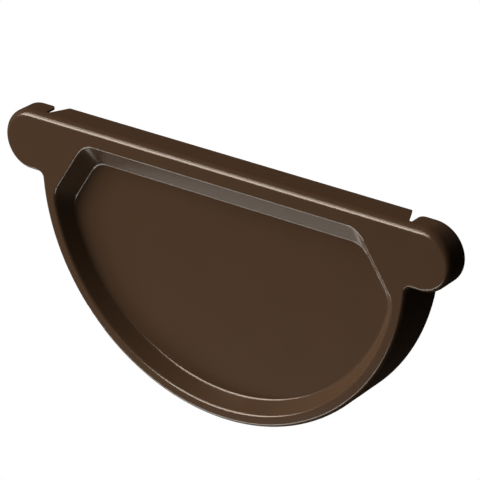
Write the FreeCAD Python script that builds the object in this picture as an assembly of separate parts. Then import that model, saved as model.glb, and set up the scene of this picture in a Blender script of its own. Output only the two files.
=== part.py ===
import FreeCAD, Part
import math
import os

# Gutter end cap for a half-round gutter, pressed in one piece from coated sheet steel.
#
# The frame: X runs across the gutter, Y runs into the gutter and Z is up.
# The origin is on the gutter's axis, in the plane of the flange's open edge,
# so the closed front face looks towards -Y. All sizes are in millimetres.

# The gutter that the cap closes
GUTTER_RADIUS = 62.5      # outside of the half-round wall
BEAD_RADIUS = 8.5         # outside of the roll along the gutter's edge
PUSH_FIT = 0.1            # room all round between the gutter and the cap

# The sheet
SHEET = 0.6               # steel with its coating

# The front outline
AXIS_DROP = 15.5          # from the flat top down to the gutter's axis
BEAD_STAND = 4.3          # from the half-round's outside out to the centre of an ear
NECK_RADIUS = 1.7         # hollow corner between an ear and the half-round

# The flange, measured back from the front face
FLANGE_DEPTH = 16.6       # round the half-round
TOP_DEPTH = 8.7           # along the flat top
EAR_DEPTH = 7.3           # round the ears
STEP_DROP = 2.0           # from an ear's underside down to the step in the flange
STEP_LEAN = 2.0           # how far the step's edge slopes down towards the back
TOP_BEND = 2.0            # outside radius of the bend along the flat top
SIDE_BEND = 1.1           # outside radius of the bend everywhere else

# The notches that part the top flange from the ears
NOTCH_GAP = 0.2           # from the half-round's inside out to an ear's cut edge
NOTCH_FLAT = 0.9          # width at the bottom
NOTCH_MOUTH = 3.8         # width at the top flange's free edge
NOTCH_LAND = 0.6          # sheet left between the bend and the notch
EAR_CORNER = 1.5          # rounding of an ear's free corner

# The recess pressed into the front
RECESS_DEPTH = 4.9
TOP_LAND = 5.5            # from the flat top down to the recess
ROUND_LAND = 3.6         # from the half-round's outside in to the recess
SHOULDER_SET = 12.4      # from the recess's round wall in to the sharp corner at its top
SHOULDER_ANGLE = 32.8     # slope of the two shoulders, from upright
TOP_LEAN = 6.7            # how far the top wall leans in over the depth
SHOULDER_LEAN = 4.6       # the same for the shoulders
ROUND_LEAN = 2.9          # the same for the round wall
RECESS_CORNER = 9.5       # rounding of the recess's corners
RIM_BEND = 1.0            # front radius of the bend at the rim, along the top and shoulders
FLOOR_BEND = 1.0          # front radius of the bend at the floor, along the top and shoulders
ROUND_RIM_BEND = 1.2      # front radius of the bend at the rim, along the round wall
ROUND_FLOOR_BEND = 1.2    # front radius of the bend at the floor, along the round wall

# Worked out from the sizes above
SOCKET_RADIUS = GUTTER_RADIUS + PUSH_FIT
ROUND_RADIUS = SOCKET_RADIUS + SHEET
EAR_RADIUS = BEAD_RADIUS + PUSH_FIT + SHEET
BEAD_OFFSET = ROUND_RADIUS + BEAD_STAND
NOTCH_SIDE = SOCKET_RADIUS + NOTCH_GAP
RECESS_RADIUS = ROUND_RADIUS - ROUND_LAND
TOP_HALF = RECESS_RADIUS - SHOULDER_SET
FRONT = -FLANGE_DEPTH
EAR_HEIGHT = AXIS_DROP - EAR_RADIUS
EAR_UNDERSIDE = EAR_HEIGHT - EAR_RADIUS
PAST = 2.0                # how far a cutting form runs past what it cuts
TOLERANCE = 1e-4


def point(x, y, z):
    return FreeCAD.Vector(x, y, z)


def arc_through(first, middle, last):
    return Part.Arc(first, middle, last).toShape()


def ends(edge):
    return [edge.valueAt(edge.FirstParameter), edge.valueAt(edge.LastParameter)]


def level(edge):
    """True where both ends of the edge lie at the same depth."""
    first, last = ends(edge)
    return abs(first.y - last.y) < TOLERANCE


def on_circle(centre_x, centre_z, radius, degrees, y):
    angle = math.radians(degrees)
    return point(centre_x + radius * math.cos(angle), y, centre_z + radius * math.sin(angle))


def outline(inset, y):
    """The front outline, moved inwards by inset: flat top, two ears and the half-round."""
    top = AXIS_DROP - inset
    ear = EAR_RADIUS - inset
    underside = EAR_UNDERSIDE + inset
    neck = NECK_RADIUS + inset
    half_round = ROUND_RADIUS - inset
    neck_z = underside - neck
    neck_x = math.sqrt((half_round + neck) ** 2 - neck_z ** 2)
    touch = half_round / (half_round + neck)
    down = math.degrees(math.atan2(neck_z, neck_x))
    neck_middle = (90.0 + 180.0 + down) / 2.0
    ear_top = point(BEAD_OFFSET, y, top)
    ear_end = on_circle(BEAD_OFFSET, EAR_HEIGHT, ear, 0.0, y)
    ear_bottom = point(BEAD_OFFSET, y, underside)
    neck_start = point(neck_x, y, underside)
    neck_mid = on_circle(neck_x, neck_z, neck, neck_middle, y)
    neck_end = point(neck_x * touch, y, neck_z * touch)

    def across(p):
        return point(-p.x, p.y, p.z)

    edges = [
        Part.makeLine(across(ear_top), ear_top),
        arc_through(ear_top, ear_end, ear_bottom),
        Part.makeLine(ear_bottom, neck_start),
        arc_through(neck_start, neck_mid, neck_end),
        arc_through(neck_end, point(0.0, y, -half_round), across(neck_end)),
        arc_through(across(neck_end), across(neck_mid), across(neck_start)),
        Part.makeLine(across(neck_start), across(ear_bottom)),
        arc_through(across(ear_bottom), across(ear_end), across(ear_top)),
    ]
    return Part.Wire(edges)


def at_depth(solid, y):
    """The edges in the plane y, each with its number in the solid."""
    return [
        (number, edge)
        for number, edge in enumerate(solid.Edges, start=1)
        if all(abs(end.y - y) < TOLERANCE for end in ends(edge))
    ]


def bends_along(chain, is_wide, wide, narrow):
    """The bend radius at both ends of each edge in a closed chain, wide where is_wide says so.

    The two radii stand in the order in which the chain is run through, which its first edge sets.
    """
    way = chain[0][1].Orientation
    bends = []
    for number, edge in chain:
        radii = [wide if is_wide(end) else narrow for end in ends(edge)]
        if edge.Orientation != way:
            radii.reverse()
        bends.append((number, radii[0], radii[1]))
    return bends


def rounded(solid, bends):
    """Rounds the listed edges, each with a radius for either end."""
    document = FreeCAD.newDocument("bends")
    base = document.addObject("Part::Feature", "base")
    base.Shape = solid
    fillet = document.addObject("Part::Fillet", "fillet")
    fillet.Base = base
    fillet.Edges = bends
    document.recompute()
    result = fillet.Shape.copy()
    FreeCAD.closeDocument(document.Name)
    return result.Solids[0]


def body_form(inset, end):
    """The outline as a solid from the front back to end, with its front edge rounded.

    The bend along the flat top is wider, and it narrows down over each ear.
    """
    y = FRONT + inset
    body = Part.Face(outline(inset, y)).extrude(point(0.0, end - y, 0.0))

    def on_top(p):
        return abs(p.z - (AXIS_DROP - inset)) < TOLERANCE

    bends = bends_along(at_depth(body, y), on_top, TOP_BEND - inset, SIDE_BEND - inset)
    return rounded(body, bends)


def section(inset, y):
    """The recess's top and shoulders at depth y, left open far below, moved outwards by inset."""
    slope = math.tan(math.radians(SHOULDER_ANGLE))
    lean = (y - FRONT) / RECESS_DEPTH
    top_grow = inset * math.hypot(RECESS_DEPTH, TOP_LEAN) / RECESS_DEPTH
    shoulder_grow = inset * math.hypot(RECESS_DEPTH, SHOULDER_LEAN) / RECESS_DEPTH
    sideways = (shoulder_grow - SHOULDER_LEAN * lean) / math.cos(math.radians(SHOULDER_ANGLE))
    rim = AXIS_DROP - TOP_LAND
    top = rim - TOP_LEAN * lean + top_grow
    low = -2.0 * ROUND_RADIUS
    top_x = TOP_HALF + slope * (rim - top) + sideways
    low_x = TOP_HALF + slope * (rim - low) + sideways
    return [point(-top_x, y, top), point(top_x, y, top), point(low_x, y, low), point(-low_x, y, low)]


def flat_face(corners):
    return Part.Face(Part.makePolygon(corners + corners[:1]))


def flat_sided(near, far):
    """The solid between two four-cornered sections whose sides run parallel."""
    sides = [flat_face([near[i - 1], near[i], far[i], far[i - 1]]) for i in range(len(near))]
    return Part.Solid(Part.Shell([flat_face(near), flat_face(far)] + sides))


def round_wall(inset, y):
    """The radius of the recess's round wall at depth y, moved outwards by inset."""
    lean = ROUND_LEAN / RECESS_DEPTH
    return RECESS_RADIUS + inset * math.hypot(1.0, lean) - lean * (y - FRONT)


def round_sided(inset, near, far):
    """The cone that the recess's round wall lies on, moved outwards by inset."""
    profile = [
        point(0.0, near, 0.0),
        point(0.0, near, round_wall(inset, near)),
        point(0.0, far, round_wall(inset, far)),
        point(0.0, far, 0.0),
    ]
    return flat_face(profile).revolve(point(0.0, 0.0, 0.0), point(0.0, 1.0, 0.0), 360.0)


def recess_bends(solid, y, inset, wide, narrow):
    """The bends round the recess in the plane y: wide along its round wall, narrow elsewhere."""
    radius = round_wall(inset, y)

    def from_axis(p):
        return math.hypot(p.x, p.z)

    def on_round_wall(p):
        return abs(from_axis(p) - radius) < TOLERANCE

    chain = [
        (number, edge)
        for number, edge in at_depth(solid, y)
        if all(from_axis(end) < radius + TOLERANCE for end in ends(edge))
    ]
    return bends_along(chain, on_round_wall, wide, narrow)


def recess_form(inset):
    """The recess as a solid, moved outwards by inset so that the sheet keeps its thickness."""
    start = FRONT - PAST
    floor = FRONT + RECESS_DEPTH + inset
    wedge = flat_sided(section(inset, start), section(inset, floor))
    form = wedge.common(round_sided(inset, start, floor)).Solids[0]
    corners = [edge for edge in form.Edges if not level(edge)]
    form = form.makeFillet(RECESS_CORNER + inset, corners)
    bends = recess_bends(form, floor, inset, ROUND_FLOOR_BEND + inset, FLOOR_BEND + inset)
    return rounded(form, bends)


def skin(inset, end):
    """The solid behind the sheet's front skin (inset 0) or its back skin (inset SHEET)."""
    form = body_form(inset, end).cut(recess_form(inset)).Solids[0]
    bends = recess_bends(form, FRONT + inset, inset, ROUND_RIM_BEND - inset, RIM_BEND - inset)
    return rounded(form, bends)


def top_trim():
    """What is cut away behind the top flange, with the notch at either end."""
    back = PAST
    free_edge = FRONT + TOP_DEPTH
    bottom = FRONT + TOP_BEND + NOTCH_LAND
    half = [
        (NOTCH_SIDE, back),
        (NOTCH_SIDE, bottom),
        (NOTCH_SIDE - NOTCH_FLAT, bottom),
        (NOTCH_SIDE - NOTCH_MOUTH, free_edge),
    ]
    corners = half + [(-x, y) for x, y in reversed(half)]
    z = EAR_HEIGHT
    face = flat_face([point(x, y, z) for x, y in corners])
    return face.extrude(point(0.0, 0.0, EAR_RADIUS + PAST))


def ear_trim():
    """What is cut away behind the right ear, with the rounded corner at the notch."""
    free_edge = FRONT + EAR_DEPTH
    inner = NOTCH_SIDE
    outer = BEAD_OFFSET + EAR_RADIUS + PAST
    turn = EAR_CORNER * (1.0 - math.sqrt(0.5))
    z = EAR_HEIGHT
    start = point(inner, free_edge - EAR_CORNER, z)
    middle = point(inner + turn, free_edge - turn, z)
    end = point(inner + EAR_CORNER, free_edge, z)
    corners = [end, point(outer, free_edge, z), point(outer, PAST, z), point(inner, PAST, z), start]
    edges = [arc_through(start, middle, end)]
    edges += [Part.makeLine(a, b) for a, b in zip(corners, corners[1:])]
    return Part.Face(Part.Wire(edges)).extrude(point(0.0, 0.0, EAR_RADIUS + PAST))


def step_trim():
    """What is cut away behind the right ear's lower half, down to the sloping step in the flange."""
    free_edge = FRONT + EAR_DEPTH
    high = EAR_UNDERSIDE - STEP_DROP
    low = high - STEP_LEAN * (PAST - free_edge) / -free_edge
    inner = RECESS_RADIUS
    outer = BEAD_OFFSET + EAR_RADIUS + PAST
    corners = [(free_edge, high), (PAST, low), (PAST, EAR_HEIGHT), (free_edge, EAR_HEIGHT)]
    face = flat_face([point(inner, y, z) for y, z in corners])
    return face.extrude(point(outer - inner, 0.0, 0.0))


def end_cap():
    """The sheet between the two skins, with the flange trimmed to its three depths."""
    sheet = skin(0.0, 0.0).cut(skin(SHEET, PAST))
    right = [ear_trim(), step_trim()]
    left = [form.mirror(point(0.0, 0.0, 0.0), point(1.0, 0.0, 0.0)) for form in right]
    return sheet.cut([top_trim()] + right + left).Solids[0]


os.makedirs("parts", exist_ok=True)
cap = end_cap()
cap.exportStep("parts/end_cap.step")
box = cap.optimalBoundingBox()
print("end_cap: valid", cap.isValid(), "solids", len(cap.Solids), "volume mm3", round(cap.Volume, 1))
print("size mm", round(box.XLength, 2), round(box.YLength, 2), round(box.ZLength, 2))
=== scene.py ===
# %% [markdown]
# # A gutter end cap in satin brown coated steel
#
# This cap closes the end of a half-round gutter. It is pressed from one sheet of coated steel:
# a front with a drawn recess, a flange that goes round the gutter's wall, and two round ears
# for the rolls along the gutter's edges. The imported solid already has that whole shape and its
# bends, so nothing is modelled twice here. What is left is what the eye reads on the real one:
# the coating, how light runs along the bends, and a plain studio round it.

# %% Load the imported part
import math

import bpy
import numpy as np
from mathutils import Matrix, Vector

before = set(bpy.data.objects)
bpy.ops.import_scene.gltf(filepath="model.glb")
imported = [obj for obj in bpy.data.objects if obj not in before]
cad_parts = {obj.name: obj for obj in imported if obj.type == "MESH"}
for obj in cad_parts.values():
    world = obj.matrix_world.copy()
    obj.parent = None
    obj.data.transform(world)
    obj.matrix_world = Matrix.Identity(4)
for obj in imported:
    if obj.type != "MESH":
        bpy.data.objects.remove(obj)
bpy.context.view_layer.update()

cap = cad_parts["end_cap"]

# %% [markdown]
# ## The camera
#
# The photograph looks at the closed front from the right and from above, through a long lens,
# so the top edge and the rim under it run nearly parallel. The camera's place is a point in the
# cap's own frame, in metres. Its line of sight is given by two angles: how far round to the
# right it stands, and how far down it looks.

# %% Place the camera
CAMERA_TURN = 36.45       # degrees that it stands to the right of straight ahead
CAMERA_RISE = 25.42       # degrees that it looks down
CAMERA_AT = (0.40731, -0.55653, 0.31476)
LENS, SENSOR = 201.67, 36.0     # millimetres
NEAR, FAR = 0.05, 20.0          # metres that the camera can see


def direction(turn, rise):
    """The unit vector towards a place that is turn degrees right of -Y and rise degrees up."""
    a, e = math.radians(turn), math.radians(rise)
    return Vector((math.sin(a) * math.cos(e), -math.cos(a) * math.cos(e), math.sin(e)))


def place_in_scene(name, data):
    """Adds an object at the origin, turned by a quaternion."""
    made = bpy.data.objects.new(name, data)
    made.rotation_mode = "QUATERNION"
    bpy.context.scene.collection.objects.link(made)
    return made


camera_data = bpy.data.cameras.new("camera")
camera_data.lens = LENS
camera_data.sensor_width = SENSOR
camera_data.clip_start, camera_data.clip_end = NEAR, FAR
camera = place_in_scene("camera", camera_data)
camera.location = CAMERA_AT
camera.rotation_quaternion = (-direction(CAMERA_TURN, CAMERA_RISE)).to_track_quat("-Z", "Y")
bpy.context.scene.camera = camera
print("camera", round(Vector(CAMERA_AT).length, 3), "m from the cap's origin")

# %% [markdown]
# ## The coating
#
# Such caps are made of galvanised sheet with a baked polyester coat about 0.05 mm thick. To the
# eye that coat is a plastic film and no metal: a dark brown body colour, the refractive index of
# a plastic, and a soft sheen that draws one bright line along every bend.
#
# The film isn't perfectly level. A baked paint has a fine skin, a fraction of a millimetre from
# crest to crest, that breaks the edge of a highlight up into grains. Over centimetres the film
# also varies a little in thickness, so the brown is a shade deeper in slow patches. Both come
# from noise in the cap's own coordinates, with its scale written in metres.

# %% A colour as it is written, and one node with its settings
def linear(hex_colour):
    """An sRGB hex colour as the linear values that the shaders work with."""
    values = np.array([int(hex_colour[i:i + 2], 16) for i in (1, 3, 5)]) / 255.0
    values = np.where(values <= 0.04045, values / 12.92, ((values + 0.055) / 1.055) ** 2.4)
    return (*values.tolist(), 1.0)


def node(tree, kind, settings=None, inputs=None):
    """Adds a node, sets its properties, and sets or links its inputs."""
    made = tree.nodes.new(kind)
    for name, value in (settings or {}).items():
        setattr(made, name, value)
    for name, value in (inputs or {}).items():
        if isinstance(value, bpy.types.NodeSocket):
            tree.links.new(value, made.inputs[name])
        else:
            made.inputs[name].default_value = value
    return made


def empty_material(name):
    """A material with no nodes yet, and its node tree."""
    material = bpy.data.materials.new(name)
    material.use_nodes = True
    material.node_tree.nodes.clear()
    return material, material.node_tree


print("the written grey #808080 is", round(linear("#808080")[0], 3), "in linear light")

# %% Mix the satin brown polyester
COAT_BROWN = "#4d3c30"    # where the film is thinner
COAT_DEEPER = "#48392b"   # where the film is a little thicker
FILM_SKIN = 0.45e-3       # metres from crest to crest, drawn a little coarser than real
FILM_PATCH = 18e-3        # metres across a slow change of shade
SKIN_HEIGHT = 0.04e-3     # metres from hollow to crest
SKIN_SHARE = 0.5          # how much of that slope the light follows
NOISE_DETAIL = 2.0        # each noise has two finer ones mixed in
SMOOTH, ROUGH = 0.15, 0.19      # how rough the crests and the hollows are
PLASTIC_IOR = 1.5         # usual for a baked polyester


def polyester_coat():
    material, tree = empty_material("satin_polyester_coat")
    own = node(tree, "ShaderNodeTexCoord").outputs["Object"]
    patch = node(tree, "ShaderNodeTexNoise", inputs={
        "Vector": own, "Scale": 1.0 / FILM_PATCH, "Detail": NOISE_DETAIL})
    brown = node(tree, "ShaderNodeMix", {"data_type": "RGBA"}, {
        "Factor": patch.outputs["Fac"], 6: linear(COAT_BROWN), 7: linear(COAT_DEEPER)})
    skin = node(tree, "ShaderNodeTexNoise", inputs={
        "Vector": own, "Scale": 1.0 / FILM_SKIN, "Detail": NOISE_DETAIL})
    # crests shine a little more than hollows, so the highlight is never one even band
    sheen = node(tree, "ShaderNodeMapRange", inputs={
        "Value": skin.outputs["Fac"], "To Min": ROUGH, "To Max": SMOOTH})
    skin_slope = node(tree, "ShaderNodeBump", inputs={
        "Height": skin.outputs["Fac"], "Distance": SKIN_HEIGHT, "Strength": SKIN_SHARE})
    coat = node(tree, "ShaderNodeBsdfPrincipled", inputs={
        "Base Color": brown.outputs[2], "Roughness": sheen.outputs["Result"],
        "Normal": skin_slope.outputs["Normal"], "IOR": PLASTIC_IOR, "Specular IOR Level": 0.5})
    node(tree, "ShaderNodeOutputMaterial", inputs={"Surface": coat.outputs["BSDF"]})
    return material


coat = polyester_coat()
for slot in cap.material_slots:
    slot.material = coat
print("coated", len(cap.material_slots), "slot of", len(cap.data.polygons), "faces")

# %% [markdown]
# ## The lamps
#
# What tells the eye that the sheet is bent is one narrow bright line along each bend, with calm
# brown on both sides of it. A bend mirrors a whole arc of the room, so a narrow line means a
# bright lamp of limited size in a dark room, and not a bright room.
#
# The brown itself is lit from further round. The recess's floor is dim beside its left wall and
# brightens slowly to the right, over three times the wall's height, so most of the light on the
# paint comes from the left. No bend mirrors that light towards the camera. So most lamps here
# are of one of two kinds: they are only mirrored, and draw the lines, or only light the paint.
#
# - The key and the strip over it draw the lines along the top bend and the two bottom arcs.
# - The table's lamps stand for the light that a pale table sends up. The edge draws the thin
#   lines on bends that face down, and the glow fills the recess's upper wall. These two do
#   both. The one right under the cap keeps the flange's underside from going black.
# - Three lamps on the left and a weak fill on the right only light the paint.
# - The last two are behind the cap, one of each kind, for the side that is hidden here.

# %% Hang the lamps
WARM_PAPER = "#fff0e0"    # the bright lines on the cap lean a little to beige
COOL_PAPER = "#fffaf0"    # the pale table is nearly white


def softbox(name, turn, rise, away, wide, high, radiance, tint=WARM_PAPER,
            is_mirrored=True, lights_paint=True):
    """A rectangular lamp that faces the cap. turn and rise give its direction in degrees, and
    away, wide and high its distance and its sides in metres. radiance is how bright it looks."""
    lamp = bpy.data.lights.new(name, "AREA")
    lamp.shape = "RECTANGLE"
    lamp.size, lamp.size_y = wide, high
    lamp.energy = radiance * wide * high * math.pi
    lamp.color = linear(tint)[:3]
    made = place_in_scene(name, lamp)
    made.location = direction(turn, rise) * away
    made.rotation_quaternion = direction(turn, rise).to_track_quat("Z", "Y")
    made.visible_camera = False
    made.visible_glossy = is_mirrored
    made.visible_diffuse = lights_paint
    print(name, round(lamp.energy, 2), "W")


softbox("key", -35, 11, 0.9, 0.56, 0.36, 11.4, lights_paint=False)
softbox("strip", -35, 32, 0.9, 0.56, 0.16, 6.2, lights_paint=False)
softbox("table_edge", -34, -45, 0.45, 0.44, 0.05, 7.2, COOL_PAPER)
softbox("table_glow", -64, -58, 0.45, 0.34, 0.18, 1.4, COOL_PAPER)
softbox("table_under", 25, -72, 0.38, 0.20, 0.20, 1.3, COOL_PAPER, is_mirrored=False)
softbox("left", -60, 16, 2.0, 1.00, 0.90, 10.8, is_mirrored=False)
softbox("left_high", -50, 48, 2.0, 0.90, 0.90, 12.2, is_mirrored=False)
softbox("left_low", -75, -30, 0.6, 0.30, 0.20, 7.5, is_mirrored=False)
softbox("fill", 30, 30, 2.0, 0.90, 0.90, 0.7, is_mirrored=False)
softbox("behind", -155, 10, 0.9, 0.50, 0.36, 9.0, is_mirrored=False)
softbox("behind_sheen", 180, 4, 0.9, 0.60, 0.36, 8.0, lights_paint=False)

# %% [markdown]
# ## The room
#
# The white round the cap is paper. A bend that faced white paper all round would turn grey, and
# on the real one the coat stays dark right up to its bright lines. So a black tent paints dark
# reflections into the coat, and only there: the tent is a large dome with a flat bottom, and
# only mirrored rays meet it. Its bottom lies just over the floor, so they meet the tent and not
# paper.
#
# The floor is a wide round slab well below the cap. Its middle is ordinary pale paper that
# takes the cap's shadow, and further out it fades into the plain white of the background.

# %% Turn a profile into a closed surface
def turned(name, radii, heights, around=64):
    """A closed surface of revolution: each ring has its own radius and height, the rings are
    joined by four-sided faces, and a single point closes each end with a fan of triangles.
    The profile runs from the bottom up, so every face looks outward."""
    turn = np.linspace(0.0, 2.0 * np.pi, around, endpoint=False)
    rings = np.stack((np.outer(radii, np.cos(turn)), np.outer(radii, np.sin(turn)),
                      np.outer(heights, np.ones(around))), axis=-1).reshape(-1, 3)
    points = np.vstack((rings, (0.0, 0.0, heights[0]), (0.0, 0.0, heights[-1])))
    here = np.arange(around)
    after = (here + 1) % around
    start = np.arange(len(radii) - 1)[:, None] * around
    sides = np.stack((start + here, start + after, start + around + after,
                      start + around + here), axis=-1).reshape(-1, 4)
    last = (len(radii) - 1) * around
    bottom = np.stack((after, here, np.full(around, len(rings))), axis=-1)
    top = np.stack((last + here, last + after, np.full(around, len(rings) + 1)), axis=-1)
    mesh = bpy.data.meshes.new(name)
    mesh.from_pydata(points.tolist(), [], sides.tolist() + bottom.tolist() + top.tolist())
    made = place_in_scene(name, mesh)
    print(name, "has", len(mesh.polygons), "faces")
    return made


# %% Set up the tent and the floor
FLOOR_Z = -0.42           # metres below the gutter's axis
TENT_RADIUS = 2.2
TENT_OVER_FLOOR = 0.005
SLAB_RADIUS = 3.0
SLAB_ROUND = 0.01         # the radius of the slab's rim, so the slab is twice as thick
SLAB_MIDDLE = 0.5         # the radius of the fan of triangles in the flat middle
TENT_RINGS, RIM_RINGS = 31, 9

rise = np.radians(np.linspace(-88.0, 88.0, TENT_RINGS))     # the fans close the last two degrees
tent = turned("tent", TENT_RADIUS * np.cos(rise),
              np.maximum(TENT_RADIUS * np.sin(rise), FLOOR_Z + TENT_OVER_FLOOR))
# only mirrored rays meet the tent, so it paints dark reflections and lights or shades nothing
for ray in ("camera", "diffuse", "transmission", "shadow", "volume_scatter"):
    setattr(tent, "visible_" + ray, False)

rim = np.radians(np.linspace(-90.0, 90.0, RIM_RINGS))
rim_radii = SLAB_RADIUS + SLAB_ROUND * np.cos(rim)
rim_heights = FLOOR_Z - SLAB_ROUND + SLAB_ROUND * np.sin(rim)
floor = turned("floor", np.concatenate(([SLAB_MIDDLE], rim_radii, [SLAB_MIDDLE])),
               np.concatenate(([FLOOR_Z - 2.0 * SLAB_ROUND], rim_heights, [FLOOR_Z])))
floor.visible_diffuse = False                       # the paper's glow stays off the cap's sides

# %% Colour the tent, which paints dark reflections into the coat
DARK_REFLECTION_COLOUR = "#161412"


def painted_dark_reflection():
    cloth, tree = empty_material("painted_dark_reflection")
    # painted dark reflection: the coat mirrors this dark colour instead of the white room
    dull = node(tree, "ShaderNodeBsdfDiffuse", inputs={"Color": linear(DARK_REFLECTION_COLOUR)})
    node(tree, "ShaderNodeOutputMaterial", inputs={"Surface": dull.outputs[0]})
    return cloth


tent.data.materials.append(painted_dark_reflection())
print("the cloth sends back", round(linear(DARK_REFLECTION_COLOUR)[0], 4), "of the light that falls on it")

# %% Lay the paper
PAPER = "#dce8f8"         # a little blue, so that it looks white under the warm lamps
LIT_OUT_TO = 0.30         # metres round the cap's foot that show as lit paper
WHITE_FROM = 0.42         # and from here on it is as white as the background


def seen(tree):
    """1 for a ray that shows the background: straight to the camera, mirrored or let through."""
    path = node(tree, "ShaderNodeLightPath")
    either = node(tree, "ShaderNodeMath", {"operation": "MAXIMUM"}, {
        0: path.outputs["Is Camera Ray"], 1: path.outputs["Is Glossy Ray"]})
    return node(tree, "ShaderNodeMath", {"operation": "MAXIMUM"}, {
        0: either.outputs[0], 1: path.outputs["Is Transmission Ray"]}).outputs[0]


def pale_paper():
    paper, tree = empty_material("pale_paper")
    own = node(tree, "ShaderNodeTexCoord").outputs["Object"]
    flat = node(tree, "ShaderNodeVectorMath", {"operation": "MULTIPLY"}, {
        0: own, 1: (1.0, 1.0, 0.0)})
    out = node(tree, "ShaderNodeVectorMath", {"operation": "LENGTH"}, {0: flat.outputs[0]})
    fade = node(tree, "ShaderNodeMapRange", {"interpolation_type": "SMOOTHSTEP"}, {
        "Value": out.outputs["Value"], "From Min": LIT_OUT_TO, "From Max": WHITE_FROM})
    share = node(tree, "ShaderNodeMath", {"operation": "MULTIPLY"}, {
        0: fade.outputs["Result"], 1: seen(tree)})
    lit = node(tree, "ShaderNodeBsdfDiffuse", inputs={"Color": linear(PAPER)})
    glow = node(tree, "ShaderNodeEmission", inputs={"Strength": 1.0})
    both = node(tree, "ShaderNodeMixShader", inputs={
        "Fac": share.outputs[0], 1: lit.outputs[0], 2: glow.outputs[0]})
    node(tree, "ShaderNodeOutputMaterial", inputs={"Surface": both.outputs[0]})
    return paper


floor.data.materials.append(pale_paper())
print("the paper is lit out to", LIT_OUT_TO, "m and white from", WHITE_FROM, "m")

# %% Close the room with a white background
GLOOM = 0.01              # what the room adds to the paint, next to the lamps


def studio_world():
    world = bpy.data.worlds.new("studio")
    world.use_nodes = True
    tree = world.node_tree
    tree.nodes.clear()
    dark = node(tree, "ShaderNodeBackground", inputs={"Strength": GLOOM})
    white = node(tree, "ShaderNodeBackground", inputs={
        "Color": (1.0, 1.0, 1.0, 1.0), "Strength": 1.0})
    both = node(tree, "ShaderNodeMixShader", inputs={
        "Fac": seen(tree), 1: dark.outputs[0], 2: white.outputs[0]})
    node(tree, "ShaderNodeOutputWorld", inputs={"Surface": both.outputs[0]})
    return world


bpy.context.scene.world = studio_world()
bpy.context.scene.view_settings.view_transform = "Standard"
print("the world shows white, and lights the paint at a strength of", GLOOM)
